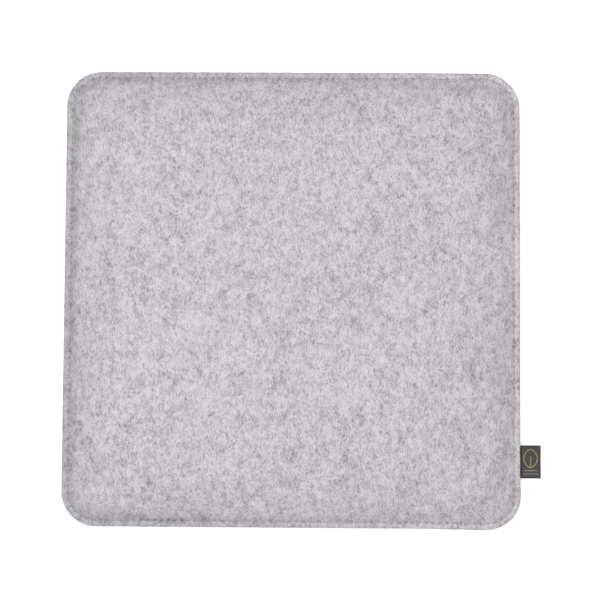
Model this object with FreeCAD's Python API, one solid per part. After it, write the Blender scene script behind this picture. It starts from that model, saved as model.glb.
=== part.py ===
import FreeCAD
import Part

import math
import os

# Felt kneeling pad: two square felt sheets with a foam slab between them, joined by one
# lockstitch seam just inside the edge. A folded ribbon label is caught in the seam.
# Millimetres. X and Y lie along the sides, Z is up, and the origin is the middle of the underside.
# Heights marked "half" are measured from the seam plane, where the two felt sheets meet.

vec = FreeCAD.Vector
UP = vec(0, 0, 1)
ORIGIN = vec(0, 0, 0)
QUARTER_TURN = 90
LEVEL = 1e-6                # two ends of an edge nearer in height than this are level

# Outline
pad_side = 350.0
corner_radius = 27.0

# Felt sheets and foam slab
felt_thickness = 3.0
foam_thickness = 20.0
flange_width = 6.5          # flat rim where the sheets lie on each other
slope_end = 25.0            # distance from the edge at which the crown is reached
foot_radius = 4.0           # hollow bend where the sheet leaves the rim
foam_inset = 13.0           # distance from the pad's edge to the foam's edge
foam_gap = 0.1

# Seam
seam_inset = 5.0
stitch_count = 256
thread_diameter = 0.6
thread_sink = 0.2           # how far a stitch is drawn into the felt
stitch_bend = 0.6           # centreline radius where a stitch turns into its hole
leg_gap = 0.05              # between the needle thread's leg and the seam plane
lap_stitches = 6            # the seam ends by running over its own start
lap_start_x = -85.0
lap_offset = 0.75           # the second run lies beside the first, towards the crown

# Ribbon label
label_width = 25.0          # along the edge
label_reach = 16.0          # out from the edge
label_tail = 8.0            # inside the edge
label_centre_y = -124.0
ply_thickness = 0.35
ply_gap = 0.1
hinge_offset = 0.5          # from the felt's edge to the line where the label bends
tail_stub = 0.05            # the tail stands this far out of the edge

# Emblem woven on the label: a leaf outline with a midrib, over two bars
yarn_width = 0.85
yarn_height = 0.12
leaf_length = 14.0
leaf_width = 10.4
leaf_rise = 2.6             # from the label's centre to the leaf's centre, towards +Y
midrib_share = 0.62
bars = ((9.4, -6.6), (11.6, -9.2))   # length and offset from the label's centre

# Derived
half_side = pad_side / 2
straight = pad_side - 2 * corner_radius
corner_axis = half_side - corner_radius
crown_half = foam_thickness / 2 + felt_thickness
rise = crown_half - felt_thickness
slope_angle = 2 * math.atan(rise / (slope_end - flange_width))
shoulder_radius = rise / (1 - math.cos(slope_angle)) - foot_radius
seam_height = crown_half
label_half = ply_gap / 2 + ply_thickness
hinge_x = half_side + hinge_offset


def point(distance, half):
    """A point of the section through the +X side, this far in from the edge."""
    return vec(half_side - distance, -straight / 2, half)


def arc_point(centre, radius, angle):
    """On an arc of the section, at an angle from straight up, leaning towards the edge."""
    return point(centre[0] - radius * math.sin(angle), centre[1] + radius * math.cos(angle))


def slope_edges(depth):
    """The sheet's outer line sunk by depth: rim point, foot arc, shoulder arc, crown point."""
    foot_centre = (flange_width, felt_thickness + foot_radius)
    shoulder_centre = (slope_end, crown_half - shoulder_radius)
    foot = foot_radius + depth
    shoulder = shoulder_radius - depth
    rim = point(flange_width, felt_thickness - depth)
    foot_middle = point(
        flange_width + foot * math.sin(slope_angle / 2),
        foot_centre[1] - foot * math.cos(slope_angle / 2),
    )
    turn = arc_point(shoulder_centre, shoulder, slope_angle)
    shoulder_middle = arc_point(shoulder_centre, shoulder, slope_angle / 2)
    crown = point(slope_end, crown_half - depth)
    foot_arc = Part.Arc(rim, foot_middle, turn).toShape()
    shoulder_arc = Part.Arc(turn, shoulder_middle, crown).toShape()
    return rim, foot_arc, shoulder_arc, crown


def line(a, b):
    return Part.LineSegment(a, b).toShape()


def swept_round(section):
    """Takes a section face of the +X side round the pad: four straight sides, four corners."""
    side = section.extrude(vec(0, straight, 0))
    corner = section.revolve(vec(corner_axis, -corner_axis, 0), UP, -QUARTER_TURN)
    pieces = []
    for quarter in range(4):
        for piece in (side, corner):
            turned = piece.copy()
            turned.rotate(ORIGIN, UP, QUARTER_TURN * quarter)
            pieces.append(turned)
    return pieces


def crown_plate(low, high):
    """The flat middle, inside the slope, with the small corner radius that is left there."""
    radius = corner_radius - slope_end
    side = pad_side - 2 * slope_end
    plate = Part.makeBox(side, side, high - low, vec(-side / 2, -side / 2, low))
    upright = [e for e in plate.Edges if abs(e.Vertexes[0].Z - e.Vertexes[-1].Z) > LEVEL]
    return plate.makeFillet(radius, upright)


def joined(pieces):
    whole = pieces[0].multiFuse(pieces[1:]).removeSplitter()
    return whole.Solids[0] if len(whole.Solids) == 1 else whole


def lifted(shape, height=seam_height):
    """Moves a shape drawn about the seam plane to its place above the floor."""
    shape.translate(vec(0, 0, height))
    return shape


def felt_sheet():
    """The upper sheet: flat rim, slope and crown, one felt thickness everywhere."""
    outer_rim, outer_foot, outer_shoulder, outer_crown = slope_edges(0)
    inner_rim, inner_foot, inner_shoulder, inner_crown = slope_edges(felt_thickness)
    edge_top = point(0, felt_thickness)
    edge_bottom = point(0, 0)
    edges = [
        line(edge_bottom, edge_top), line(edge_top, outer_rim), outer_foot, outer_shoulder,
        line(outer_crown, inner_crown), inner_shoulder, inner_foot, line(inner_rim, edge_bottom),
    ]
    section = Part.Face(Part.Wire(Part.__sortEdges__(edges)))
    plate = crown_plate(crown_half - felt_thickness, crown_half)
    sheet = joined(swept_round(section) + [plate])
    pocket = Part.makeBox(
        label_tail, label_width, 2 * label_half,
        vec(half_side - label_tail, label_centre_y - label_width / 2, -label_half),
    )
    return sheet.cut(pocket)


def foam_slab():
    """The slab as the felt holds it: flat faces, with edges pressed round by the sheets."""
    depth = felt_thickness + foam_gap
    radius = shoulder_radius - depth
    centre = (slope_end, crown_half - shoulder_radius)
    side_angle = math.asin((slope_end - foam_inset) / radius)
    top_corner = arc_point(centre, radius, side_angle)
    middle = arc_point(centre, radius, side_angle / 2)
    crown = point(slope_end, crown_half - depth)
    lower = [vec(p.x, p.y, -p.z) for p in (top_corner, middle, crown)]
    edges = [
        Part.Arc(top_corner, middle, crown).toShape(), line(crown, lower[2]),
        Part.Arc(lower[0], lower[1], lower[2]).toShape(), line(lower[0], top_corner),
    ]
    section = Part.Face(Part.Wire(Part.__sortEdges__(edges)))
    plate = crown_plate(depth - crown_half, crown_half - depth)
    return joined(swept_round(section) + [plate])


def seam_point(distance, inset=seam_inset):
    """A point and direction on the seam, counted from the middle of the +X side towards +Y."""
    radius = corner_radius - inset
    arc_length = math.pi / 2 * radius
    quarter_length = straight + arc_length
    quarter, rest = divmod(distance + quarter_length * 4, quarter_length)
    turn = math.radians(QUARTER_TURN * (quarter % 4))
    edge = half_side - inset
    if rest <= straight / 2:
        place, heading = vec(edge, rest, 0), math.pi / 2
    elif rest <= straight / 2 + arc_length:
        bend = (rest - straight / 2) / radius
        place = vec(corner_axis + radius * math.cos(bend), corner_axis + radius * math.sin(bend), 0)
        heading = math.pi / 2 + bend
    else:
        past = rest - straight / 2 - arc_length
        place, heading = vec(straight / 2 - past, edge, 0), math.pi
    around = FreeCAD.Rotation(UP, math.degrees(turn))
    return around.multVec(place), heading + turn


def stitch(span):
    """One stitch of the needle thread: a bar on the felt with a leg down at each end."""
    radius = thread_diameter / 2
    top = felt_thickness + radius - thread_sink
    half = span / 2
    bend = stitch_bend
    lean = bend * (1 - math.cos(math.radians(QUARTER_TURN / 2)))
    left_foot, left_knee = vec(-half, 0, leg_gap), vec(-half, 0, top - bend)
    left_turn, left_bar = vec(-half + lean, 0, top - lean), vec(-half + bend, 0, top)
    right_foot, right_knee, right_turn, right_bar = (
        vec(-p.x, 0, p.z) for p in (left_foot, left_knee, left_turn, left_bar)
    )
    path = Part.Wire([
        line(left_foot, left_knee), Part.Arc(left_knee, left_turn, left_bar).toShape(),
        line(left_bar, right_bar), Part.Arc(right_bar, right_turn, right_knee).toShape(),
        line(right_knee, right_foot),
    ])
    circle = Part.Wire(Part.makeCircle(radius, left_foot, UP))
    return path.makePipeShell([circle], True, True)


def needle_thread():
    """Every stitch of the needle thread, two legs to a hole, and the lap at the seam's end."""
    radius = corner_radius - seam_inset
    seam_length = 4 * (straight + math.pi / 2 * radius)
    pitch = seam_length / stitch_count
    one = stitch(pitch - thread_diameter - leg_gap)
    runs = [(pitch * (k + 0.5), seam_inset) for k in range(stitch_count)]
    front_middle = -seam_length / 4          # the middle of the -Y side
    for k in range(lap_stitches):
        along = front_middle + lap_start_x - pitch * k
        runs.append((along, seam_inset + lap_offset))
    placed = []
    for distance, inset in runs:
        place, heading = seam_point(distance, inset)
        solid = one.copy()
        solid.rotate(ORIGIN, UP, math.degrees(heading))
        solid.translate(place)
        placed.append(solid)
    return Part.makeCompound(placed)


def below(shape):
    """The same shape on the other side of the seam plane."""
    return shape.mirror(ORIGIN, UP)


def ribbon(low_x, high_x, fold):
    """The two plies of the ribbon between two places, joined by the fold at the outer end."""
    low_y = label_centre_y - label_width / 2
    inner = ply_gap / 2
    outer = label_half
    end = high_x - outer if fold else high_x
    ply = Part.makeBox(end - low_x, label_width, ply_thickness, vec(low_x, low_y, inner))
    pieces = [ply, below(ply)]
    if not fold:
        return Part.makeCompound(pieces)
    centre = vec(end, low_y, 0)
    roll = Part.makeCylinder(outer, label_width, centre, vec(0, 1, 0))
    hole = Part.makeCylinder(inner, label_width, centre, vec(0, 1, 0))
    keep = Part.makeBox(outer, label_width, 2 * outer, vec(end, low_y, -outer))
    pieces.append(roll.cut(hole).common(keep))
    return joined(pieces)


def leaf_blade(change):
    """The lens between two arcs, each moved outwards by change."""
    half_length = leaf_length / 2
    half_width = leaf_width / 2
    arc_radius = (half_length ** 2 + half_width ** 2) / (2 * half_width)
    offset = arc_radius - half_width
    middle = vec(hinge_x + (label_reach - hinge_offset) / 2, label_centre_y + leaf_rise, label_half)
    discs = [
        Part.makeCylinder(arc_radius + change, yarn_height, middle + vec(side * offset, 0, 0))
        for side in (-1, 1)
    ]
    return discs[0].common(discs[1]), middle


def emblem():
    """Leaf outline, midrib and two bars, standing a yarn's height above the upper ply."""
    outside, middle = leaf_blade(yarn_width / 2)
    inside, _ = leaf_blade(-yarn_width / 2)
    rib_length = leaf_length * midrib_share
    rib_low = middle - vec(yarn_width / 2, leaf_length / 2, 0)
    rib = Part.makeBox(yarn_width, rib_length, yarn_height, rib_low)
    outline = outside.cut(inside).fuse(rib).removeSplitter()
    pieces = [outline]
    for length, offset in bars:
        corner = vec(middle.x - length / 2, label_centre_y + offset - yarn_width / 2, label_half)
        pieces.append(Part.makeBox(length, yarn_width, yarn_height, corner))
    return Part.makeCompound(pieces)


def main():
    upper = felt_sheet()
    thread = needle_thread()
    label_end = half_side + label_reach
    parts = {
        "top_felt": upper,
        "bottom_felt": below(upper),
        "foam_core": foam_slab(),
        "needle_thread": thread,
        "bobbin_thread": below(thread),
        "label_tail": ribbon(half_side - label_tail, half_side + tail_stub, False),
        "side_label": ribbon(hinge_x, label_end, True),
        "label_emblem": emblem(),
    }
    os.makedirs("parts", exist_ok=True)
    for name, shape in parts.items():
        placed = lifted(shape)
        placed.exportStep(f"parts/{name}.step")
        print(name, "valid", placed.isValid(), "solids", len(placed.Solids),
              "volume", round(placed.Volume, 1))


main()
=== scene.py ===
import math

import bmesh
import bpy
import numpy as np
from mathutils import Matrix, Vector
from mathutils.bvhtree import BVHTree


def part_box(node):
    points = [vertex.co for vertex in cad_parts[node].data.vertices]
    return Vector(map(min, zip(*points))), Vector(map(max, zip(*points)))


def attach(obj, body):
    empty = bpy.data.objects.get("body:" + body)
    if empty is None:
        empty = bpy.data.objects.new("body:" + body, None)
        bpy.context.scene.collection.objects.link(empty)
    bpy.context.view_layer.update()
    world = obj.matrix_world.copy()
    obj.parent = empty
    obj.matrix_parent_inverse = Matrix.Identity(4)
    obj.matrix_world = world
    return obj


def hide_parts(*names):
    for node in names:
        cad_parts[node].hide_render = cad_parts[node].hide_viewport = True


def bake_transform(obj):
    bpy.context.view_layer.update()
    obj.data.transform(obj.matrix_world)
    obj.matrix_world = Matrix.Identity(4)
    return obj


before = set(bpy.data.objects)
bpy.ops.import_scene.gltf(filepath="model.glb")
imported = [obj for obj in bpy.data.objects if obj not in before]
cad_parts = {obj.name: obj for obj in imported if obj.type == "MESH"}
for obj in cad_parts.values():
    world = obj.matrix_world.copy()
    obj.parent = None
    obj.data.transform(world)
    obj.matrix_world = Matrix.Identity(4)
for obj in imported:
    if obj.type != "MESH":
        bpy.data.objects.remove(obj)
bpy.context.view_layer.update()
scene = bpy.context.scene
print("frame: loaded", len(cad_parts), "nodes")

feltLow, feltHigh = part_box("top_felt")
labelLow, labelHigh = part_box("side_label")
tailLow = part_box("label_tail")[0]
halfSide = (feltHigh.x - feltLow.x) / 2
seamHeight = feltLow.z                 # the plane where the two sheets meet
crownRise = feltHigh.z - feltLow.z     # from that plane to the top


pad = {                        # metres
    "cornerRadius": 0.027,
    "roundTo": 0.020,          # further in than this the corners only shrink
    "cornerPulls": ((1, -1, 0.0007), (1, 1, -0.0004)),     # side in X, side in Y, outwards
    "pullReach": ((0.09, 0.170), (0.136, 0.165)),          # where a pull starts and is whole, X then Y
    "feltThickness": 0.003,
    "rimWidth": 0.0058,        # rim outside the slope
    "rimSink": 0.0007,         # how far the seam draws the rim's face down
    "footSoftness": 0.09,      # how gently the slope leaves the rim
    "crownReach": 0.046,       # from the edge to the level crown
    "crownFullness": 3.0,
    "edgeRounding": 0.0006,
    "seamInset": 0.0045,
    "stitchCount": 256,
    "grooveDepth": 0.00038,
    "grooveWidth": 0.0016,
    "grooveBeat": 0.25,        # the groove is deeper at the holes by this share
    "holeDepth": 0.0010,
    "holeWidth": 0.00085,
    "holeSeed": 5,
    "rimPressAndShade": 0.58,           # how dark the rim is painted on the front and back: pressed felt, plus painted shade
    "rimShadeSlant": 0.58,          # painted shade, more on the left and less on the right by this
    "rimPressAndShadeReach": (0.004, 0.0145),       # insets where the rim's pressed tone and painted shade start to fade and end
    "settledReach": (0.0065, 0.012),       # insets where the cloth's own movement starts and is whole
    "edgeWaver": 0.00005,      # the cut edge isn't quite straight
    "waverReach": 0.006,
    "edgeWaves": 24,
    "sheetGap": 0.00005,       # half the hairline between the sheets at the rim
    "labelGap": 0.00045,       # how far each sheet opens round the ribbon
    "gapBeside": 0.0025,       # the opening closes within this beside the ribbon
    "gapReach": (0.007, 0.011),
    "floorGap": 0.00005,
    "floorSoftness": 0.0006,
    "lumpHeight": 0.00010,     # the felt's own unevenness
    "lumpSeed": 12,
}


def linked(name, data):
    made = bpy.data.objects.new(name, data)
    scene.collection.objects.link(made)
    return made


def smoothStep(value, low, high):
    t = np.clip((value - low) / (high - low), 0, 1)
    return t * t * (3 - 2 * t)


# Share runs once round the seam from the middle of the +X side, and inset is measured from the edge
def outline(share, inset):
    seamRadius = pad["cornerRadius"] - pad["seamInset"]
    axis = halfSide - pad["cornerRadius"]
    arcLength = math.pi / 2 * seamRadius
    quarterLength = 2 * axis + arcLength
    along = (share % 1.0) * 4 * quarterLength
    quarter = np.floor(along / quarterLength)
    rest = along - quarter * quarterLength
    near = min(inset, pad["roundTo"])
    bend = np.clip((rest - axis) / seamRadius, 0, math.pi / 2)
    radius = pad["cornerRadius"] - near
    x = axis + radius * np.cos(bend) - np.clip(rest - axis - arcLength, 0, None)
    y = axis + radius * np.sin(bend) - np.clip(axis - rest, 0, None)
    shrink = (halfSide - inset) / (halfSide - near)
    turnX, turnY = np.cos(quarter * math.pi / 2), np.sin(quarter * math.pi / 2)
    return pulled((x * turnX - y * turnY) * shrink, (x * turnY + y * turnX) * shrink)


# No two corners come out of the sewing quite alike
def pulled(x, y):
    reachX, reachY = pad["pullReach"]
    for sideX, sideY, pull in pad["cornerPulls"]:
        share = smoothStep(x * sideX, *reachX) * smoothStep(y * sideY, *reachY)
        x = x + sideX * pull * share
        y = y + sideY * pull * share
    return x, y


# The outer face above the seam plane before the cloth settles
def sewnHeight(inset):
    rim = pad["feltThickness"] - pad["rimSink"] * smoothStep(inset, 0.0, pad["seamInset"])
    past = (inset - pad["rimWidth"]) / (pad["crownReach"] - pad["rimWidth"])
    past = 0.5 * (past + np.sqrt(past ** 2 + pad["footSoftness"] ** 2))
    rise = crownRise - pad["feltThickness"] + pad["rimSink"]
    return rim + rise * (1 - (1 - np.clip(past, 0, 1)) ** pad["crownFullness"])


# Loops of points joined into one skin. Neighbouring loops have the same count, or half or twice as many
def skin(name, loops, marks, flip=False):
    points = np.concatenate(loops)
    starts = np.cumsum([0] + [len(loop) for loop in loops])
    faces = []
    for k in range(len(loops) - 1):
        na, nb = len(loops[k]), len(loops[k + 1])
        sa, sb = starts[k], starts[k + 1]
        if na == nb:
            faces += [(sa + i, sa + (i + 1) % na, sb + (i + 1) % nb, sb + i) for i in range(na)]
        elif na == 1:
            faces += [(sa, sb + (i + 1) % nb, sb + i) for i in range(nb)]
        elif nb == 1:
            faces += [(sa + i, sa + (i + 1) % na, sb) for i in range(na)]
        elif na == 2 * nb:
            for i in range(nb):
                p, q, r = sa + 2 * i, sa + 2 * i + 1, sa + (2 * i + 2) % na
                faces += [(p, q, sb + i), (q, r, sb + (i + 1) % nb, sb + i)]
        else:
            for i in range(na):
                p, q, r = sb + 2 * i, sb + 2 * i + 1, sb + (2 * i + 2) % nb
                faces += [(q, p, sa + i), (sa + i, sa + (i + 1) % na, r, q)]
    if flip:
        faces = [f[::-1] for f in faces]
    mesh = bpy.data.meshes.new(name)
    mesh.from_pydata(points.tolist(), [], [tuple(int(v) for v in f) for f in faces])
    mesh.shade_smooth()
    for mark, values in marks.items():
        attribute = mesh.attributes.new(mark, "FLOAT", "POINT")
        attribute.data.foreach_set("value", np.concatenate(values).astype(np.float32))
    mesh.validate()
    return linked(name, mesh)


rings = {                      # the felt skins' rings, by their inset from the edge
    "around": 1536,            # points in a ring near the seam
    "thinned": ((0.0078, 1), (0.026, 2), (0.062, 4), (0.145, 8), (0.160, 16)),   # up to here, by this
    "thinnest": 32,
    "inner": (
        0.165, 0.150, *np.linspace(0.140, 0.070, 9), *np.linspace(0.058, 0.028, 8),
        *np.linspace(0.024, 0.009, 9), 0.0073, 0.0055, 0.0035, 0.0018, 0.0008,
    ),
    "outer": (
        0.0011, 0.0017, 0.0023, 0.0028, 0.0033, 0.0038, 0.0042, 0.0046, 0.0050, 0.0054, 0.0058,
        0.0062, 0.0067, 0.0073, *np.arange(0.0082, 0.026, 0.0011), *np.arange(0.027, 0.062, 0.0022),
        *np.arange(0.0645, 0.170, 0.0045),
    ),
    "middles": (0.170, 0.172),             # where the inner and the outer middle points are read
}


# Points round the pad at this inset, fine near the seam and coarser further in
def countAt(inset):
    for limit, share in rings["thinned"]:
        if inset < limit:
            return rings["around"] // share
    return rings["around"] // rings["thinnest"]


def sharesAt(inset):
    return np.arange(countAt(inset)) / countAt(inset)


cloth = {
    "around": 256,
    "voxel": 0.0045,
    "pressure": 4.0,
    "growth": 0.02,            # how much larger the felt is cut than the seam allows
    "stiffness": 18.0,
    "bending": 6.0,
    "mass": 0.25,
    "frames": 20,
    "travel": 0.0030,          # no point moves further than this
    "held": 0.0085,            # the rim is held this far in from the edge
    "gridStep": 0.0025,
    "insets": (0.0, 0.003, 0.006, *np.linspace(0.010, 0.046, 10), *np.linspace(0.056, 0.165, 12)),
}


def sewnForm():
    share = np.arange(cloth["around"]) / cloth["around"]
    half = []
    for inset in cloth["insets"]:
        x, y = outline(share, inset)
        half.append(np.stack([x, y, np.full_like(x, float(sewnHeight(inset)))], 1))
    below = [loop * (1, 1, -1) for loop in half]
    centre = np.array([[0, 0, crownRise]])
    return skin("sewn_form", [centre * (1, 1, -1)] + below[::-1] + half + [centre], {})


def heights(form, grid, side):
    verts = [form.matrix_world @ v.co for v in form.data.vertices]
    tree = BVHTree.FromPolygons(verts, [tuple(p.vertices) for p in form.data.polygons])
    field = np.zeros((len(grid), len(grid)))
    for j, y in enumerate(grid):
        for i, x in enumerate(grid):
            hit = tree.ray_cast(Vector((x, y, side * 0.2)), Vector((0, 0, -side)))[0]
            field[j, i] = hit.z if hit else 0.0
    return field


def blurred(field, passes=2):
    for _ in range(passes):
        for axis in (0, 1):
            field = 0.25 * np.roll(field, 1, axis) + 0.5 * field + 0.25 * np.roll(field, -1, axis)
    return field


def settle(form):
    remesh = form.modifiers.new("remesh", "REMESH")
    remesh.mode = "VOXEL"
    remesh.voxel_size = cloth["voxel"]
    bpy.context.view_layer.objects.active = form
    bpy.ops.object.modifier_apply(modifier="remesh")
    grid = np.arange(-halfSide, halfSide + cloth["gridStep"], cloth["gridStep"])
    before = [heights(form, grid, side) for side in (1, -1)]
    rest = np.array([v.co[:] for v in form.data.vertices])
    inset = halfSide - np.abs(rest[:, :2]).max(1)
    pins = form.vertex_groups.new(name="seam")
    for index in np.where(inset < cloth["held"])[0]:
        pins.add([int(index)], 1.0, "REPLACE")
    modifier = form.modifiers.new("cloth", "CLOTH")
    settings = modifier.settings
    settings.quality = 6
    settings.mass = cloth["mass"]
    for name in ("tension_stiffness", "compression_stiffness", "shear_stiffness"):
        setattr(settings, name, cloth["stiffness"])
    settings.bending_stiffness = cloth["bending"]
    settings.vertex_group_mass = "seam"
    settings.shrink_min = -cloth["growth"]
    settings.shrink_max = -cloth["growth"]
    settings.use_pressure = True
    settings.uniform_pressure_force = cloth["pressure"]
    settings.effector_weights.gravity = 0
    modifier.collision_settings.use_collision = False
    scene.frame_start, scene.frame_end = 1, cloth["frames"]
    modifier.point_cache.frame_start, modifier.point_cache.frame_end = 1, cloth["frames"]
    for number in range(1, cloth["frames"] + 1):
        scene.frame_set(number)
    bpy.ops.object.modifier_apply(modifier="cloth")
    moved = np.array([v.co[:] for v in form.data.vertices]) - rest
    length = np.linalg.norm(moved, axis=1, keepdims=True)
    moved *= cloth["travel"] / (cloth["travel"] + length)    # soft cap
    print("cloth: mean travel %.2f mm, most %.2f mm" % (length.mean() * 1e3, length.max() * 1e3))
    for vertex, place in zip(form.data.vertices, rest + moved):
        vertex.co = place
    after = [heights(form, grid, side) for side in (1, -1)]
    scene.frame_set(1)
    bpy.data.objects.remove(form)
    return grid, [blurred(a - b) for a, b in zip(after, before)]


# Smooth cubic reading of a field on the square grid
def readField(grid, field, x, y):
    step = grid[1] - grid[0]
    u, v = (x - grid[0]) / step, (y - grid[0]) / step
    i, j = np.floor(u).astype(int), np.floor(v).astype(int)
    fu, fv = u - i, v - j

    def weights(t):
        return (-0.5 * t + t ** 2 - 0.5 * t ** 3, 1 - 2.5 * t ** 2 + 1.5 * t ** 3,
                0.5 * t + 2 * t ** 2 - 1.5 * t ** 3, -0.5 * t ** 2 + 0.5 * t ** 3)

    total = np.zeros_like(x)
    last = len(grid) - 1
    for a, wa in enumerate(weights(fv)):
        for b, wb in enumerate(weights(fu)):
            total += wa * wb * field[np.clip(j + a - 1, 0, last), np.clip(i + b - 1, 0, last)]
    return total


settled = settle(sewnForm())
print("cloth: settled")


# A sum of seeded waves: the felt's own gentle unevenness, about 1 at its peaks
def unevenness(x, y, seed, shortest=0.012, longest=0.045, count=36):
    chance = np.random.default_rng(seed)
    total = np.zeros_like(x)
    for _ in range(count):
        length = chance.uniform(shortest, longest)
        heading, phase = chance.uniform(0, 2 * math.pi, 2)
        total += np.sin(2 * math.pi / length * (x * math.cos(heading) + y * math.sin(heading)) + phase)
    return total / math.sqrt(count / 2) / 2


# How dark the rim is painted: pressed felt, plus painted shade that is heavier on the left
def rimPressAndShade(share):
    x, _ = outline(share, 0.0)
    return pad["rimPressAndShade"] - pad["rimShadeSlant"] * x / halfSide


# The outline with the cut edge's small wavering, which dies out towards the seam
def edgeLine(share, inset, side):
    chance = np.random.default_rng(pad["lumpSeed"] + 3 * side + 9)
    waver = np.zeros_like(share)
    for _ in range(pad["edgeWaves"]):
        waves, phase = chance.integers(9, 160), chance.uniform(0, 2 * math.pi)
        waver += np.sin(2 * math.pi * waves * share + phase)
    spread = math.sqrt(pad["edgeWaves"] / 2)
    amount = pad["edgeWaver"] / spread * (1 - smoothStep(inset, 0.0, pad["waverReach"]))
    step = 0.001
    x, y = outline(share, inset)
    nearX, nearY = outline(share, inset + step)
    shift = amount * (waver - 2 * spread) / step     # always a little inside the cutting line
    return x + (x - nearX) * shift, y + (y - nearY) * shift


# How far each sheet is pushed open by the ribbon between them
def ribbonGap(x, y, inset):
    middle = (labelLow.y + labelHigh.y) / 2
    reach = (labelHigh.y - labelLow.y) / 2
    beside = 1 - smoothStep(np.abs(y - middle), reach, reach + pad["gapBeside"])
    return pad["labelGap"] * beside * (x > 0) * (1 - smoothStep(inset, *pad["gapReach"]))


def outerFace(share, inset, side, detail=True):
    x, y = edgeLine(share, inset, side)
    height = np.full_like(x, float(sewnHeight(inset)))
    if settled:
        grid, fields = settled
        moved = readField(grid, fields[0 if side > 0 else 1], x, y) * side
        height += moved * smoothStep(inset, *pad["settledReach"])
    height += ribbonGap(x, y, inset)
    if detail:
        height += pad["lumpHeight"] * unevenness(x, y, pad["lumpSeed"] + side)
        off = inset - pad["seamInset"]
        beat = 1 + pad["grooveBeat"] * np.cos(2 * math.pi * share * pad["stitchCount"])
        height -= pad["grooveDepth"] * beat * math.exp(-(off / pad["grooveWidth"]) ** 2)
        height -= pad["holeDepth"] * needleMark(share, inset)
    if side < 0:     # what would bulge below the floor is pressed flat on it
        room = seamHeight - pad["floorGap"]
        height = 0.5 * (height + room - np.sqrt((height - room) ** 2 + pad["floorSoftness"] ** 2))
    return np.stack([x, y, height], 1)


seamLength = 4 * (2 * (halfSide - pad["cornerRadius"])
                  + math.pi / 2 * (pad["cornerRadius"] - pad["seamInset"]))
stitchPitch = seamLength / pad["stitchCount"]
holeDepths = 0.3 + 0.7 * np.random.default_rng(pad["holeSeed"]).random(pad["stitchCount"]) ** 3
lap = {                        # the seam's end runs over its start on the front edge
    "stitches": 6,
    "startX": -0.085,
    "offset": 0.00075,         # towards the crown
}
frontMiddle = 0.75             # share of the seam at the middle of the front edge
lapStart = frontMiddle + lap["startX"] / seamLength


# 1 at the middle of a deep needle hole, less at a shallow one, 0 between them
def needleMark(share, inset):
    number = np.round(share * pad["stitchCount"]).astype(int)
    along = (share * pad["stitchCount"] - number) * stitchPitch
    away = np.hypot(along, inset - pad["seamInset"])
    marks = holeDepths[number % pad["stitchCount"]] * np.exp(-(away / pad["holeWidth"]) ** 2)
    for hole in range(lap["stitches"] + 1):
        along = (share - lapStart) * seamLength + (hole - 0.5) * stitchPitch
        away = np.hypot(along, inset - pad["seamInset"] - lap["offset"])
        marks = np.maximum(marks, np.exp(-(away / pad["holeWidth"]) ** 2))
    return marks


# The face against the foam, one felt thickness in from the outer one
def innerFace(share, inset, side):
    ring = outerFace(share, inset, side, False)
    step = 0.0005
    slope = float(sewnHeight(inset + step) - sewnHeight(inset - step)) / (2 * step)
    sunk = ring[:, 2] - pad["feltThickness"] * math.hypot(1, slope)
    ring[:, 2] = np.maximum(sunk, pad["sheetGap"] + ribbonGap(ring[:, 0], ring[:, 1], inset))
    return ring


fuzz = {                       # loose fibres standing off the felt
    "perSquareMetre": 18000,   # on the crown
    "rimShare": 4.5,           # so many times more at the rubbed rim
    "diameter": 0.000045,
    "smallest": 0.35,          # scale of a fibre
    "largest": 1.1,
    "crownReach": (0.006, 0.020),          # insets between the rim's fibres and the crown's
    "belowReach": (0.005, 0.010),          # insets where they thin out below and end
    "labelReach": 0.012,       # none this near the label's side of the edge
    "clearOfLabel": 0.005,
    "colour": (226, 222, 225),
    "bends": 7,                # straight bits along a fibre
    "shapes": (                # start, its handle, end's handle, end; millimetres, Z off the felt
        ((-1.6, 0, -0.1), (-0.9, 0.9, 0.5), (0.6, -0.7, 0.6), (1.5, 0.2, -0.1)),
        ((-1.5, 0, -0.1), (-0.5, 0.5, 0.3), (0.8, 0.3, 0.5), (1.9, -0.5, 0.7)),
        ((-1.2, 0, -0.1), (0, 1.2, 0.4), (1.6, 0.6, 0.3), (0.6, -0.4, -0.05)),
    ),
}


# Where the loose fibres are: none by the label, and below only at the rim, clear of the floor
def looseShare(x, y, inset, side):
    if side > 0:
        share = 1 + (fuzz["rimShare"] - 1) * (1 - smoothStep(inset, *fuzz["crownReach"]))
    else:
        share = fuzz["rimShare"] * (1 - smoothStep(inset, *fuzz["belowReach"]))
    middle, reach = (labelLow.y + labelHigh.y) / 2, (labelHigh.y - labelLow.y) / 2
    near = (x > halfSide - fuzz["labelReach"]) & (np.abs(y - middle) < reach + fuzz["clearOfLabel"])
    return np.where(near, 0.0, share)


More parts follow.
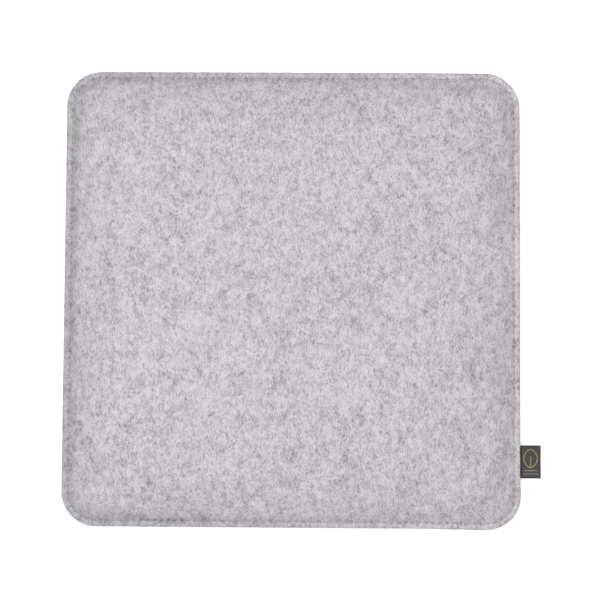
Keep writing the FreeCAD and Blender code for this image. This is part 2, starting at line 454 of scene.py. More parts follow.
# One felt sheet as a closed skin: inner face, cut edge, rim, seam groove, slope and crown
def feltSheet(name, side):
    loops = []
    marks = {"needleMark": [], "rimPressAndShadeMask": [], "nap": []}
    innerMiddle, outerMiddle = rings["middles"]

    def keep(ring, needle=0.0, rim=1.0, nap=0.0):
        for mark, value in zip(marks.values(), (needle, rim, nap)):
            mark.append(np.full(len(ring), value))
        ring = ring.copy()
        ring[:, 2] = seamHeight + side * ring[:, 2]
        loops.append(ring)

    keep(np.array([[0, 0, innerFace(np.zeros(1), innerMiddle, side)[0, 2]]]))
    for inset in rings["inner"]:
        keep(innerFace(sharesAt(inset), inset, side))
    # the cut edge, rounded at both its corners: how far in, how high, and from where
    share = sharesAt(0.0)
    rounding = pad["edgeRounding"]
    foot = pad["sheetGap"] + ribbonGap(*edgeLine(share, 0.0, side), 0.0)
    top = outerFace(share, 0.0, side)[:, 2]
    wall = [(rounding * 0.5 * (1 - math.sin(a)), rounding * 0.5 * (1 - math.cos(a)), "foot")
            for a in np.radians([20, 45, 70, 90])]
    wall += [(0.0, 0.35, "between"), (0.0, 0.65, "between")]
    wall += [(rounding * (1 - math.cos(a)), rounding * (1 - math.sin(a)), "top")
             for a in np.radians([0, 22, 45, 68])]
    for inset, amount, start in wall:
        x, y = edgeLine(share, inset, side)
        if start == "foot":
            z = foot + amount
        elif start == "between":
            z = foot + (top - foot) * amount
        else:
            z = top - amount
        keep(np.stack([x, y, z], 1), nap=looseShare(x, y, inset, side))
    for inset in rings["outer"]:
        share = sharesAt(inset)
        # the rim's painted shade and pressed tone, fading towards the crown
        rimPressAndShadeShare = rimPressAndShade(share) * (1 - smoothStep(inset, *pad["rimPressAndShadeReach"]))
        face = outerFace(share, inset, side)
        keep(face, needleMark(share, inset), rimPressAndShadeShare, looseShare(face[:, 0], face[:, 1], inset, side))
    keep(np.array([[0, 0, outerFace(np.zeros(1), outerMiddle, side)[0, 2]]]), rim=0.0)
    return skin(name, loops, marks, flip=side < 0)


# The foam slab under the sheets: crowned like them, with its sides cut straight
foam = {
    "insets": (0.013, *np.linspace(0.0145, 0.046, 12), *np.linspace(0.052, 0.165, 20)),
    "clearance": 0.0001,
    "around": 384,
    "wallRings": 5,
    "cellsPerMetre": 900.0,
    "pore": (214, 208, 186),
    "colour": (238, 234, 218),
}


def foamSlab():
    share = np.arange(foam["around"]) / foam["around"]
    halves = {}
    for side in (1, -1):
        halves[side] = []
        for inset in foam["insets"]:
            ring = innerFace(share, inset, side)
            ring[:, 2] = seamHeight + side * (ring[:, 2] - foam["clearance"])
            halves[side].append(ring)
    lowEdge, highEdge = halves[-1][0], halves[1][0]
    steps = np.linspace(0, 1, foam["wallRings"] + 2)[1:-1]
    wall = [lowEdge + (highEdge - lowEdge) * t for t in steps]
    centres = [np.array([[0, 0, halves[side][-1][:, 2].mean()]]) for side in (-1, 1)]
    return skin("foam_slab", [centres[0]] + halves[-1][::-1] + wall + halves[1] + [centres[1]], {})


def add(tree, kind, inputs=None, **settings):
    made = tree.nodes.new(kind)
    for key, value in settings.items():
        setattr(made, key, value)
    for key, value in (inputs or {}).items():
        if isinstance(value, bpy.types.NodeSocket):
            tree.links.new(value, made.inputs[key])
        else:
            made.inputs[key].default_value = value
    return made


def maths(tree, operation, a, b=0.0):
    return add(tree, "ShaderNodeMath", {0: a, 1: b}, operation=operation).outputs[0]


def vectorMaths(tree, operation, a, b):
    second = "Scale" if operation == "SCALE" else 1
    return add(tree, "ShaderNodeVectorMath", {0: a, second: b}, operation=operation).outputs[0]


def combined(tree, x=0.0, y=0.0, z=0.0):
    return add(tree, "ShaderNodeCombineXYZ", {"X": x, "Y": y, "Z": z}).outputs[0]


# A new geometry tree with its named inputs
def growthTree(name, sockets):
    tree = bpy.data.node_groups.new(name, "GeometryNodeTree")
    for label, kind in sockets:
        tree.interface.new_socket(name=label, in_out="INPUT", socket_type="NodeSocket" + kind)
    tree.interface.new_socket(name="Geometry", in_out="OUTPUT", socket_type="NodeSocketGeometry")
    return tree, add(tree, "NodeGroupInput").outputs


def turnedAboutZ(tree, rotation, angle):
    turn = add(tree, "FunctionNodeEulerToRotation", {0: combined(tree, z=angle)})
    return add(tree, "FunctionNodeRotateRotation", {"Rotation": rotation, "Rotate By": turn.outputs[0]},
               rotation_space="LOCAL").outputs[0]


# Every tree ends alike: real geometry with its material
def finishTree(tree, laid, material, smooth):
    whole = add(tree, "GeometryNodeRealizeInstances", {"Geometry": laid}).outputs[0]
    if smooth:
        whole = add(tree, "GeometryNodeSetShadeSmooth", {"Geometry": whole}).outputs[0]
    painted = add(tree, "GeometryNodeSetMaterial", {"Geometry": whole, "Material": material})
    add(tree, "NodeGroupOutput", {"Geometry": painted.outputs[0]})
    return tree


ply = {
    "count": 3,
    "depth": 0.68,             # from the middle to the valley between plies, as a share of the radius
    "yawPerMetre": 400.0,      # radians a stitch turns for each metre it may wander
}


def threadTree():
    tree, given = growthTree("laidThread", (
        ("Geometry", "Geometry"), ("Count", "Int"), ("Stitch Length", "Float"),
        ("Thread Diameter", "Float"), ("Arch", "Float"), ("Leg", "Float"), ("Twist", "Float"),
        ("Turn", "Float"), ("Wander", "Float"), ("Seed", "Int"), ("Material", "Material"),
    ))
    line = add(tree, "GeometryNodeMeshToCurve", {"Mesh": given["Geometry"]})
    points = add(tree, "GeometryNodeCurveToPoints",
                 {"Curve": line.outputs["Curve"], "Count": given["Count"]}, mode="COUNT")

    # one stitch: an arch of twisted thread between two legs. The curve's top is a quarter of the
    # legs' height and three quarters of the handles'
    half = maths(tree, "MULTIPLY", given["Stitch Length"], 0.5)
    back = maths(tree, "MULTIPLY", half, -1.0)
    foot = maths(tree, "MULTIPLY", given["Leg"], -1.0)
    lift = maths(tree, "SUBTRACT", given["Arch"], maths(tree, "MULTIPLY", foot, 0.25))
    lift = maths(tree, "DIVIDE", lift, 0.75)
    ends = [combined(tree, x=x, z=z)
            for x, z in ((back, foot), (back, lift), (half, lift), (half, foot))]
    arch = add(tree, "GeometryNodeCurvePrimitiveBezierSegment",
               {"Resolution": 8, "Start": ends[0], "Start Handle": ends[1],
                "End Handle": ends[2], "End": ends[3]}, mode="POSITION")
    along = add(tree, "GeometryNodeSplineParameter")
    tilted = add(tree, "GeometryNodeSetCurveTilt",
                 {"Curve": arch.outputs[0],
                  "Tilt": maths(tree, "MULTIPLY", along.outputs["Factor"], given["Twist"])})
    outer = maths(tree, "MULTIPLY", given["Thread Diameter"], 0.5)
    section = add(tree, "GeometryNodeCurveStar",
                  {"Points": ply["count"], "Outer Radius": outer,
                   "Inner Radius": maths(tree, "MULTIPLY", outer, ply["depth"])})
    stitch = add(tree, "GeometryNodeCurveToMesh",
                 {"Curve": tilted.outputs[0], "Profile Curve": section.outputs[0], "Fill Caps": True})

    # each one faces along the line, a little out of true
    facing = add(tree, "FunctionNodeAlignRotationToVector", {"Vector": points.outputs["Tangent"]},
                 axis="X", pivot_axis="Z")
    wander = add(tree, "FunctionNodeRandomValue",
                 {0: (-1.0, -1.0, -1.0), 1: (1.0, 1.0, 1.0), "Seed": given["Seed"]},
                 data_type="FLOAT_VECTOR").outputs[0]
    split = add(tree, "ShaderNodeSeparateXYZ", {0: wander})
    amount = maths(tree, "MULTIPLY", given["Wander"], ply["yawPerMetre"])
    yaw = maths(tree, "ADD", given["Turn"], maths(tree, "MULTIPLY", split.outputs["X"], amount))
    placed = add(tree, "GeometryNodeSetPosition",
                 {"Geometry": points.outputs["Points"],
                  "Offset": vectorMaths(tree, "SCALE", wander, given["Wander"])})
    laid = add(tree, "GeometryNodeInstanceOnPoints",
               {"Points": placed.outputs[0], "Instance": stitch.outputs[0],
                "Rotation": turnedAboutZ(tree, facing.outputs[0], yaw)})
    return finishTree(tree, laid.outputs[0], given["Material"], smooth=True)


def looseFibreTree():
    tree, given = growthTree("looseFibres", (
        ("Geometry", "Geometry"), ("Density", "Float"), ("Diameter", "Float"), ("Smallest", "Float"),
        ("Largest", "Float"), ("Seed", "Int"), ("Material", "Material"),
    ))
    nap = add(tree, "GeometryNodeInputNamedAttribute", {"Name": "nap"}, data_type="FLOAT").outputs[0]
    roots = add(tree, "GeometryNodeDistributePointsOnFaces",
                {"Mesh": given["Geometry"], "Density": maths(tree, "MULTIPLY", nap, given["Density"]),
                 "Seed": given["Seed"]})
    section = add(tree, "GeometryNodeCurvePrimitiveCircle", {
        "Resolution": 3, "Radius": maths(tree, "MULTIPLY", given["Diameter"], 0.5)}, mode="RADIUS")
    kinds = add(tree, "GeometryNodeJoinGeometry")
    for shape in fuzz["shapes"]:
        start, startHandle, endHandle, end = [tuple(c / 1000 for c in point) for point in shape]
        curve = add(tree, "GeometryNodeCurvePrimitiveBezierSegment",
                    {"Resolution": fuzz["bends"], "Start": start, "Start Handle": startHandle,
                     "End Handle": endHandle, "End": end}, mode="POSITION")
        fibre = add(tree, "GeometryNodeCurveToMesh", {
            "Curve": curve.outputs[0], "Profile Curve": section.outputs[0], "Fill Caps": True})
        kept = add(tree, "GeometryNodeGeometryToInstance", {0: fibre.outputs[0]})
        tree.links.new(kept.outputs[0], kinds.inputs[0])
    which = add(tree, "FunctionNodeRandomValue", {
        4: 0, 5: len(fuzz["shapes"]) - 1, "Seed": given["Seed"]}, data_type="INT")
    yaw = add(tree, "FunctionNodeRandomValue", {
        2: 0.0, 3: 2 * math.pi, "Seed": maths(tree, "ADD", given["Seed"], 1)}, data_type="FLOAT")
    size = add(tree, "FunctionNodeRandomValue", {
        2: given["Smallest"], 3: given["Largest"],
        "Seed": maths(tree, "ADD", given["Seed"], 2)}, data_type="FLOAT")
    laid = add(tree, "GeometryNodeInstanceOnPoints",
               {"Points": roots.outputs["Points"], "Instance": kinds.outputs[0],
                "Pick Instance": True, "Instance Index": which.outputs[2], "Scale": size.outputs[1],
                "Rotation": turnedAboutZ(tree, roots.outputs["Rotation"], yaw.outputs[1])})
    return finishTree(tree, laid.outputs[0], given["Material"], smooth=False)


# A line of points as an object that a tree can follow
def lineObject(name, lines):
    verts, edges = [], []
    for points, closed in lines:
        first = len(verts)
        verts += [tuple(float(c) for c in p) for p in points]
        edges += [(first + i, first + i + 1) for i in range(len(points) - 1)]
        if closed:
            edges.append((len(verts) - 1, first))
    mesh = bpy.data.meshes.new(name)
    mesh.from_pydata(verts, edges, [])
    return linked(name, mesh)


# Runs a tree on an object and returns the result as one plain mesh object
def grown(name, base, tree, values):
    modifier = base.modifiers.new("grown", "NODES")
    modifier.node_group = tree
    for item in tree.interface.items_tree:
        if item.item_type == "SOCKET" and item.in_out == "INPUT" and item.name in values:
            modifier[item.identifier] = values[item.name]
    graph = bpy.context.evaluated_depsgraph_get()
    mesh = bpy.data.meshes.new_from_object(base.evaluated_get(graph), depsgraph=graph)
    mesh.name = name
    base.modifiers.remove(modifier)
    bpy.data.objects.remove(base)
    return linked(name, mesh)


def joinedMesh(name, parts):
    whole = bmesh.new()
    for part in parts:
        whole.from_mesh(part.data)
    kept = parts[0]
    whole.to_mesh(kept.data)
    whole.free()
    for part in parts[1:]:
        bpy.data.objects.remove(part)
    kept.name = name
    kept.data.name = name
    return kept


def shaderGroup(name, inputs, outputs):
    group = bpy.data.node_groups.new(name, "ShaderNodeTree")
    for label, kind, value in inputs:
        socket = group.interface.new_socket(name=label, in_out="INPUT", socket_type="NodeSocket" + kind)
        socket.default_value = value
    for label, kind in outputs:
        group.interface.new_socket(name=label, in_out="OUTPUT", socket_type="NodeSocket" + kind)
    return group, add(group, "NodeGroupInput").outputs


# Thin wavering fibres lying one way: 1 along a fibre, falling to 0 between them
def fibreGroup():
    group, given = shaderGroup(
        "fibreLayer",
        (("Vector", "Vector", (0, 0, 0)), ("Width", "Float", 0.0006), ("Length", "Float", 0.003),
         ("Angle", "Float", 0.0), ("Offset", "Float", 0.0), ("Sharpness", "Float", 2.0)),
        (("Fibres", "Float"),))
    turned = add(group, "ShaderNodeVectorRotate", {"Vector": given["Vector"], "Angle": given["Angle"]},
                 rotation_type="Z_AXIS").outputs[0]
    offset = combined(group, given["Offset"], maths(group, "MULTIPLY", given["Offset"], 0.7),
                      maths(group, "MULTIPLY", given["Offset"], 1.3))
    moved = vectorMaths(group, "ADD", turned, offset)
    bends = add(group, "ShaderNodeTexNoise", {
        "Vector": moved, "Scale": maths(group, "DIVIDE", 0.7, given["Length"]), "Detail": 0.0})
    centred = vectorMaths(group, "SUBTRACT", bends.outputs["Color"], (0.5, 0.5, 0.5))
    swung = vectorMaths(group, "SCALE", centred, maths(group, "MULTIPLY", given["Length"], 0.9))
    bent = vectorMaths(group, "ADD", moved, swung)
    scaled = vectorMaths(group, "DIVIDE", bent,
                         combined(group, given["Width"], given["Length"], given["Width"]))
    field = add(group, "ShaderNodeTexNoise", {
        "Vector": scaled, "Scale": 1.0, "Detail": 1.0, "Roughness": 0.5})
    away = maths(group, "ABSOLUTE", maths(group, "SUBTRACT", field.outputs[0], 0.5))
    ridge = maths(group, "SUBTRACT", 1.0, maths(group, "MULTIPLY", away, 4.0))
    ridge = maths(group, "POWER", maths(group, "MAXIMUM", ridge, 0.0), given["Sharpness"])
    add(group, "NodeGroupOutput", {"Fibres": ridge})
    return group


# Soft cloudy tone centred on 0
def cloudGroup():
    group, given = shaderGroup(
        "cloudTone",
        (("Vector", "Vector", (0, 0, 0)), ("Size", "Float", 0.01), ("Stretch", "Float", 1.0),
         ("Detail", "Float", 2.0), ("Roughness", "Float", 0.5), ("Offset", "Float", 0.0)),
        (("Tone", "Float"),))
    stretched = maths(group, "MULTIPLY", given["Size"], given["Stretch"])
    scaled = vectorMaths(group, "DIVIDE", given["Vector"],
                         combined(group, given["Size"], stretched, given["Size"]))
    moved = vectorMaths(group, "ADD", scaled,
                        combined(group, given["Offset"], given["Offset"], given["Offset"]))
    field = add(group, "ShaderNodeTexNoise", {
        "Vector": moved, "Scale": 1.0, "Detail": given["Detail"], "Roughness": given["Roughness"]})
    add(group, "NodeGroupOutput", {"Tone": maths(group, "SUBTRACT", field.outputs[0], 0.5)})
    return group


def layer(tree, group, values):
    return add(tree, "ShaderNodeGroup", values, node_tree=group).outputs[0]


def mixed(tree, share, a, b, blend="MIX"):
    made = add(tree, "ShaderNodeMix", {0: share, 6: a, 7: b}, data_type="RGBA", blend_type=blend)
    return made.outputs[2]


def linear(red, green, blue):
    return tuple(((c / 255 + 0.055) / 1.055) ** 2.4 for c in (red, green, blue)) + (1.0,)


# Gives a material its colour and its fine relief
def surfaced(tree, shader, colour, height, strength, distance, inward=False):
    tree.links.new(colour, shader.inputs["Base Color"])
    bump = add(tree, "ShaderNodeBump", {"Height": height, "Strength": strength, "Distance": distance},
               invert=inward)
    tree.links.new(bump.outputs[0], shader.inputs["Normal"])


# A new material with the constant values of its finish
def emptyMaterial(name, finish):
    material = bpy.data.materials.new(name)
    material.use_nodes = True
    tree = material.node_tree
    tree.nodes.clear()
    shader = add(tree, "ShaderNodeBsdfPrincipled", finish)
    add(tree, "ShaderNodeOutputMaterial", {"Surface": shader.outputs[0]})
    place = add(tree, "ShaderNodeTexCoord").outputs["Object"]
    return material, tree, shader, place


felt = {
    "mean": (198.4, 193.2, 197.4),   # sRGB
    "dark": (124, 118.8, 123),
    "light": (234, 228.8, 233),
    "meanAt": 0.6,                 # where the mean colour lies between dark and light
    "level": 0.62,
    "roughness": 0.96,
    "sheen": 0.12,
    "fibres": (                    # width, length, angle in degrees, weight; metres
        (0.00075, 0.0040, 12, 0.37), (0.00085, 0.0034, -28, 0.33),
        (0.00080, 0.0026, 68, 0.26), (0.0016, 0.0060, -8, 0.34),
        (0.00020, 0.0024, 24, 0.18), (0.00017, 0.0018, -52, 0.16),
    ),
    "clouds": (                    # size, stretch, detail, weight
        (0.0028, 1.5, 2.0, 0.46), (0.0048, 1.4, 1.0, 0.57), (0.0085, 1.3, 1.0, 0.50),
        (0.060, 1.2, 1.0, 0.15),
    ),
    "fibreSharpness": 1.6,
    "cloudRoughness": 0.55,
    "bump": 0.5,
    "bumpDistance": 0.00025,
    # painted shade in the needle holes: its colour, and how much of it is laid on
    "hole": (62, 60, 64),
    "holeShadeShare": 0.85,
    "rimPressAndShadeTint": (0.79, 0.815, 0.83, 1.0),   # the rim's pressed felt and painted shade: a little darker and less pink
}


def feltMaterial(fibreLayer, cloudTone):
    material, tree, shader, place = emptyMaterial("melange_felt", {
        "Roughness": felt["roughness"], "Specular IOR Level": 0.2,
        "Sheen Weight": felt["sheen"], "Sheen Roughness": 0.6})
    fibreSum = 0.0
    for number, (width, length, angle, weight) in enumerate(felt["fibres"]):
        fibres = layer(tree, fibreLayer, {
            "Vector": place, "Width": width, "Length": length, "Angle": math.radians(angle),
            "Offset": 0.37 * (number + 1), "Sharpness": felt["fibreSharpness"]})
        part = maths(tree, "MULTIPLY", maths(tree, "SUBTRACT", fibres, 0.5), weight)
        fibreSum = maths(tree, "ADD", fibreSum, part)
    tone = fibreSum
    for number, (size, stretch, detail, weight) in enumerate(felt["clouds"]):
        cloud = layer(tree, cloudTone, {
            "Vector": place, "Size": size, "Stretch": stretch, "Detail": detail,
            "Roughness": felt["cloudRoughness"], "Offset": 3.1 * number})
        tone = maths(tree, "ADD", tone, maths(tree, "MULTIPLY", cloud, weight))
    tone = maths(tree, "ADD", tone, felt["level"])
    ramp = add(tree, "ShaderNodeValToRGB", {0: tone})
    stops = ramp.color_ramp.elements
    stops[0].position, stops[0].color = 0.0, linear(*felt["dark"])
    stops[1].position, stops[1].color = 1.0, linear(*felt["light"])
    middle = stops.new(felt["meanAt"])
    middle.color = linear(*felt["mean"])
    # the rim darkened by pressed felt and by painted shade
    rimPressAndShadeShare = add(tree, "ShaderNodeAttribute", attribute_name="rimPressAndShadeMask").outputs["Fac"]
    rimPressedAndShaded = mixed(tree, rimPressAndShadeShare, ramp.outputs[0], felt["rimPressAndShadeTint"], "MULTIPLY")
    # painted shade darkens the needle holes
    holeShadeMask = add(tree, "ShaderNodeAttribute", attribute_name="needleMark").outputs["Fac"]
    shade = maths(tree, "MULTIPLY", holeShadeMask, felt["holeShadeShare"])
    surfaced(tree, shader, mixed(tree, shade, rimPressedAndShaded, linear(*felt["hole"])), fibreSum,
             felt["bump"], felt["bumpDistance"])
    return material


def threadMaterial(name, colour, fibreLayer, roughness=0.7):
    material, tree, shader, place = emptyMaterial(name, {
        "Roughness": roughness, "Specular IOR Level": 0.35})
    strands = layer(tree, fibreLayer, {
        "Vector": place, "Width": 0.00008, "Length": 0.0006, "Angle": 0.6, "Sharpness": 1.5})
    darker = tuple(c * 0.72 for c in linear(*colour)[:3]) + (1.0,)
    surfaced(tree, shader, mixed(tree, strands, darker, linear(*colour)), strands, 0.4, 0.00005)
    return material


def foamMaterial():
    material, tree, shader, place = emptyMaterial("open_cell_foam", {"Roughness": 0.95})
    cells = add(tree, "ShaderNodeTexVoronoi", {"Vector": place, "Scale": foam["cellsPerMetre"]},
                feature="DISTANCE_TO_EDGE").outputs[0]
    pores = maths(tree, "MINIMUM", maths(tree, "MULTIPLY", cells, 5.0), 1.0)
    colour = mixed(tree, pores, linear(*foam["pore"]), linear(*foam["colour"]))
    surfaced(tree, shader, colour, pores, 0.6, 0.0003, inward=True)
    return material


ribbon = {
    "face": (90, 85, 82),
    "weft": (70, 66, 65),
    "selvedgeAndShadow": (34, 32, 29),      # the selvedge's own dark thread, and the painted shadow of the felt's edge on the ribbon
    "selvedgeWidth": 0.0010,
    # width of the painted shadow next to the felt
    "feltShadowWidth": 0.0019,
    "pickPitch": 0.00042,          # weft picks along the ribbon
    "endPitch": 0.00034,           # warp ends across it
    "rows": 44,
    "steps": 26,
    "droop": 0.0005,
    "ripple": 0.00012,
    "tipCurl": 0.0003,
}


def ribbonMaterial(cloudTone):
    material, tree, shader, place = emptyMaterial("woven_ribbon", {
        "Roughness": 0.62, "Specular IOR Level": 0.4})
    uv = add(tree, "ShaderNodeUVMap", uv_map="weave").outputs[0]
    split = add(tree, "ShaderNodeSeparateXYZ", {0: uv})
    waves = []
    for axis, size, pitch in (("X", ribbonLength, "pickPitch"), ("Y", ribbonWidth, "endPitch")):
        turns = maths(tree, "MULTIPLY", split.outputs[axis], 2 * math.pi * size / ribbon[pitch])
        waves.append(maths(tree, "SINE", turns))
    picks, ends = waves
    weave = maths(tree, "MULTIPLY_ADD", picks, 0.5)
    weave.node.inputs[2].default_value = 0.5
    crossing = maths(tree, "MULTIPLY", picks, ends)
    height = maths(tree, "ADD", weave, maths(tree, "MULTIPLY", crossing, 0.35))
    uneven = layer(tree, cloudTone, {"Vector": place, "Size": 0.002, "Stretch": 3.0, "Detail": 3.0})
    tone = maths(tree, "ADD", weave, maths(tree, "MULTIPLY", uneven, 0.8))
    body = mixed(tree, tone, linear(*ribbon["weft"]), linear(*ribbon["face"]))
    # the dark lines: the selvedge at each side, and the painted shadow next to the felt
    lines = []
    for axis, size, wide, hidden, whole in (
            ("Y", ribbonWidth, "selvedgeWidth", 0.0, 0.55),
            ("X", ribbonLength, "feltShadowWidth", halfSide - tailLow.x, 0.6)):
        far = maths(tree, "SUBTRACT", 1.0, split.outputs[axis])
        near = maths(tree, "MULTIPLY", maths(tree, "MINIMUM", split.outputs[axis], far), size)
        past = maths(tree, "SUBTRACT", near, hidden)
        lines.append(add(tree, "ShaderNodeMapRange", {
            0: past, 1: ribbon[wide] * whole, 2: ribbon[wide], 3: 1.0, 4: 0.0}).outputs[0])
    dark = maths(tree, "MAXIMUM", *lines)
    surfaced(tree, shader, mixed(tree, dark, body, linear(*ribbon["selvedgeAndShadow"])), height, 0.5, 0.0001)
    return material


ribbonWidth = labelHigh.y - labelLow.y
plyThickness = (labelHigh.z - labelLow.z) * 0.44
plyCentre = (labelHigh.z - labelLow.z) / 2 - plyThickness / 2
foldX = labelHigh.x - plyCentre - plyThickness / 2
straightReach = foldX - tailLow.x
ribbonLength = 2 * straightReach + math.pi * plyCentre


# The free end hangs a little, ripples and curls; v runs across the ribbon from 0 to 1
def labelSag(out, v):
    sag = -ribbon["droop"] * out ** 2
    sag += ribbon["ripple"] * out * math.sin(2 * math.pi * (1.3 * v + 0.15))
    return sag + ribbon["tipCurl"] * out ** 2 * (2 * v - 1) ** 2


def ribbonLabel(material):
    steps, rows = ribbon["steps"], ribbon["rows"]
    line = []
    for k in range(steps):
        line.append((tailLow.x + straightReach * k / steps, plyCentre))
    bends = 8
    for k in range(bends + 1):
        angle = math.pi / 2 - math.pi * k / bends
        line.append((foldX + plyCentre * math.cos(angle), plyCentre * math.sin(angle)))
    for k in range(1, steps + 1):
        line.append((foldX - straightReach * k / steps, -plyCentre))
    line = np.array(line)
    length = np.concatenate([[0], np.cumsum(np.hypot(*np.diff(line, axis=0).T))])
    across = np.linspace(0, 1, rows + 1)
    verts = []
    for x, z in line:
        out = max(0.0, (x - halfSide) / (labelHigh.x - halfSide))
        for v in across:
            verts.append((x, labelLow.y + ribbonWidth * v, seamHeight + z + labelSag(out, v)))
    faces, corners = [], []
    width = rows + 1
    for i in range(len(line) - 1):
        for j in range(rows):
            faces.append((i * width + j, (i + 1) * width + j, (i + 1) * width + j + 1, i * width + j + 1))
            corners += [(i, j), (i + 1, j), (i + 1, j + 1), (i, j + 1)]
    mesh = bpy.data.meshes.new("ribbon_label")
    mesh.from_pydata(verts, [], faces)
    uv = mesh.uv_layers.new(name="weave")
    for entry, (i, j) in zip(uv.data, corners):
        entry.uv = (length[i] / length[-1], across[j])
    made = linked("ribbon_label", mesh)
    mesh.materials.append(material)
    solid = made.modifiers.new("thickness", "SOLIDIFY")
    solid.thickness = plyThickness
    solid.offset = 0
    bpy.context.view_layer.objects.active = made
    bpy.ops.object.modifier_apply(modifier="thickness")
    made.data.shade_smooth()
    return made


emblem = {
    "leafWidth": 0.0104,
    "leafLength": 0.0140,
    "leafRise": 0.0026,
    "leafPoints": 24,
    "midribShare": 0.62,
    "yarnWidth": 0.00085,          # the stitched line's own width
    "yarn": 0.00026,
    "pitch": 0.00024,
    "bars": ((0.0094, -0.0066), (0.0116, -0.0092)),
    "leafColour": (194, 191, 148),
    "barColour": (170, 168, 164),
}


def leafLines(middle):
    half, wide = emblem["leafLength"] / 2, emblem["leafWidth"] / 2
    radius = (half ** 2 + wide ** 2) / (2 * wide)
    sweep = math.asin(half / radius)
    centre = middle[0] + wide - radius
    side = []              # points down one edge of the leaf
    for k in range(emblem["leafPoints"] + 1):
        angle = sweep - 2 * sweep * k / emblem["leafPoints"]
        side.append((centre + radius * math.cos(angle), middle[1] + radius * math.sin(angle)))
    other = [(2 * middle[0] - x, y) for x, y in side[::-1]]
    low = middle[1] - half
    rib = [(middle[0], low), (middle[0], low + emblem["leafLength"] * emblem["midribShare"])]
    return side, other, rib


def surfaceOfLabel(x, y):
    out = max(0.0, (x - halfSide) / (labelHigh.x - halfSide))
    return seamHeight + plyCentre + plyThickness / 2 + labelSag(out, (y - labelLow.y) / ribbonWidth)


def satin(name, lines, tree, material, seed):
    parts = []
    for number, line in enumerate(lines):
        points = [(x, y, surfaceOfLabel(x, y)) for x, y in line]
        length = sum(math.dist(a, b) for a, b in zip(points, points[1:]))
        base = lineObject("satin_line", [(points, False)])
        parts.append(grown("satin", base, tree, {
            "Count": round(length / emblem["pitch"]), "Stitch Length": emblem["yarnWidth"],
            "Thread Diameter": emblem["yarn"], "Arch": emblem["yarn"] * 0.35, "Leg": emblem["yarn"] * 0.5,
            "Twist": 1.2, "Turn": math.radians(78), "Wander": 0.000015, "Seed": seed + number,
            "Material": material}))
    return joinedMesh(name, parts)


seam = {
    "diameter": 0.00058,
    "fit": 0.90,               # stitch length as a share of the pitch
    "arch": 0.00016,
    "leg": 0.0009,
    "twist": 3.4,              # radians along one stitch
    "wander": 0.00005,
    "colour": (196, 192, 196),
}


def seamThread(name, side, tree, material, seed):
    middles = (np.arange(pad["stitchCount"]) + 0.5) / pad["stitchCount"]
    ring = outerFace(middles, pad["seamInset"], side)
    lapMiddles = lapStart - np.arange(lap["stitches"]) / pad["stitchCount"]
    lapLine = outerFace(lapMiddles, pad["seamInset"] + lap["offset"], side)
    values = {
        "Stitch Length": stitchPitch * seam["fit"], "Thread Diameter": seam["diameter"],
        "Arch": seam["arch"], "Leg": seam["leg"], "Twist": seam["twist"],
        "Wander": seam["wander"], "Material": material,
    }
    parts = []
    for number, (points, closed) in enumerate(((ring, True), (lapLine, False))):
        base = lineObject("seam_line", [(points, closed)])
        parts.append(grown("seam", base, tree, dict(values, Count=len(points), Seed=seed + number)))
    thread = joinedMesh(name, parts)
    # made above the seam plane, then put on its own side of it
    thread.data.transform(Matrix.Translation((0, 0, seamHeight)) @ Matrix.Diagonal((1, 1, side, 1)))
    if side < 0:
        thread.data.flip_normals()
    return thread


fibreLayer, cloudTone = fibreGroup(), cloudGroup()
feltCloth = feltMaterial(fibreLayer, cloudTone)
sewingThread = threadMaterial("sewing_thread", seam["colour"], fibreLayer)

topSheet = feltSheet("upper_felt_sheet", 1)
bottomSheet = feltSheet("lower_felt_sheet", -1)
for sheet, node in ((topSheet, "top_felt"), (bottomSheet, "bottom_felt")):
    sheet.data.materials.append(feltCloth)
    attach(sheet, "pad")
    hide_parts(node)
print("felt:", len(topSheet.data.polygons), "and", len(bottomSheet.data.polygons), "faces")

fuzzTree = looseFibreTree()
fibreYarn = threadMaterial("loose_fibre", fuzz["colour"], fibreLayer, 0.8)
for sheet, name, seed in ((topSheet, "upper_loose_fibres", 3), (bottomSheet, "lower_loose_fibres", 8)):
    roots = linked("roots", sheet.data.copy())
    loose = grown(name, roots, fuzzTree, {
        "Density": fuzz["perSquareMetre"], "Diameter": fuzz["diameter"], "Smallest": fuzz["smallest"],
        "Largest": fuzz["largest"], "Seed": seed, "Material": fibreYarn})
    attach(loose, "pad")
    print("felt:", name, len(loose.data.polygons), "faces")

slab = foamSlab()
slab.data.materials.append(foamMaterial())
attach(slab, "pad")
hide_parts("foam_core")

thread = threadTree()
for side, name, node in (
        (1, "needle_stitches", "needle_thread"), (-1, "bobbin_stitches", "bobbin_thread")):
    stitches = seamThread(name, side, thread, sewingThread, 40 + side)
    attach(stitches, "pad")
    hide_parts(node)
    print("seam:", name, len(stitches.data.polygons), "faces")

label = ribbonLabel(ribbonMaterial(cloudTone))
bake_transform(label)
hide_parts("side_label", "label_tail")

middle = ((labelLow.x + labelHigh.x) / 2, (labelLow.y + labelHigh.y) / 2)
leafMiddle = (middle[0], middle[1] + emblem["leafRise"])
barLines = [[(middle[0] - length / 2, middle[1] + rise), (middle[0] + length / 2, middle[1] + rise)]
            for length, rise in emblem["bars"]]
leafYarn = threadMaterial("leaf_yarn", emblem["leafColour"], fibreLayer, 0.5)
barYarn = threadMaterial("bar_yarn", emblem["barColour"], fibreLayer, 0.5)
leaf = satin("leaf_emblem", leafLines(leafMiddle) + (barLines[0],), thread, leafYarn, 60)
bar = satin("emblem_bar", (barLines[1],), thread, barYarn, 70)
for piece in (leaf, bar):
    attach(piece, "label")
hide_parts("label_emblem")
print("label: ribbon and emblem laid")


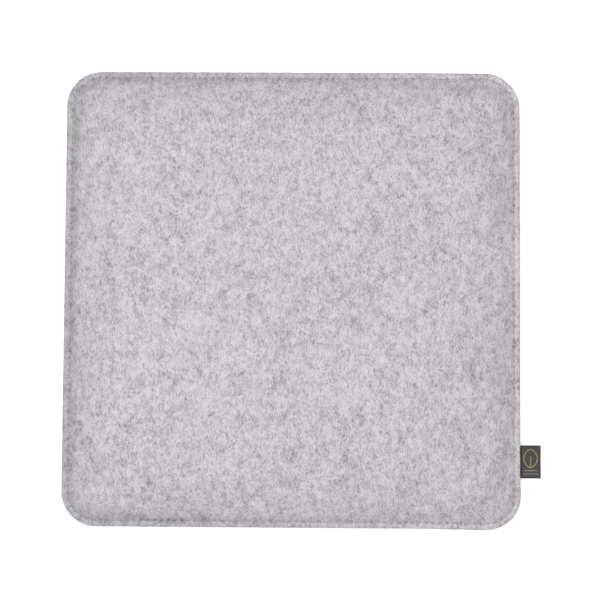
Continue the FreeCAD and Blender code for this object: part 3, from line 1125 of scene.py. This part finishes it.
studio = {
    "floor": (0.8, 0.8, 0.8, 1.0),
    "floorGlow": 0.6,                  # seen by the camera only, so that the floor stays white
    "sky": 0.10,
    "skyTint": (0.95, 0.97, 1.0, 1.0),
    "keyPlace": (-0.09, 0.0, 1.35),
    "keySize": 0.6,
    "keyPower": 15.4,
    "keyTint": (0.996, 0.986, 0.989),
    "floorReach": 6.0,
    "lens": 80,                        # millimetres on a 36 mm wide sensor
    "cameraPlace": (0.0191, -0.0546, 1.0413),
    "cameraTurn": (2.934, 0.647, 0.356),       # degrees
}

reach = studio["floorReach"]
floorMesh = bpy.data.meshes.new("floor")
floorMesh.from_pydata([(-reach, -reach, 0), (reach, -reach, 0), (reach, reach, 0), (-reach, reach, 0)],
                      [], [(0, 1, 2, 3)])
floor = linked("floor", floorMesh)
floorPaint, floorTree, floorShader, _ = emptyMaterial("white_floor", {
    "Base Color": studio["floor"], "Roughness": 1.0, "Specular IOR Level": 0.0,
    "Emission Color": (1, 1, 1, 1)})
seen = add(floorTree, "ShaderNodeLightPath").outputs["Is Camera Ray"]
floorTree.links.new(maths(floorTree, "MULTIPLY", seen, studio["floorGlow"]),
                    floorShader.inputs["Emission Strength"])
floorMesh.materials.append(floorPaint)

world = bpy.data.worlds.new("studio")
scene.world = world
world.use_nodes = True
background = world.node_tree.nodes["Background"]
background.inputs["Color"].default_value = studio["skyTint"]
background.inputs["Strength"].default_value = studio["sky"]

key = bpy.data.lights.new("overhead_softbox", "AREA")
key.shape = "SQUARE"
key.size = studio["keySize"]
key.energy = studio["keyPower"]
key.color = studio["keyTint"]
keyObject = linked("overhead_softbox", key)
keyObject.location = studio["keyPlace"]
keyObject.rotation_euler = (-Vector(studio["keyPlace"])).to_track_quat("-Z", "Y").to_euler()

cameraData = bpy.data.cameras.new("camera")
cameraData.lens = studio["lens"]
cameraData.sensor_width = 36
cameraData.clip_start = 0.05
camera = linked("camera", cameraData)
camera.location = studio["cameraPlace"]
camera.rotation_euler = [math.radians(a) for a in studio["cameraTurn"]]
scene.camera = camera

scene.view_settings.view_transform = "Standard"
scene.view_settings.look = "None"
scene.view_settings.exposure = 0.0
scene.view_settings.gamma = 1.0
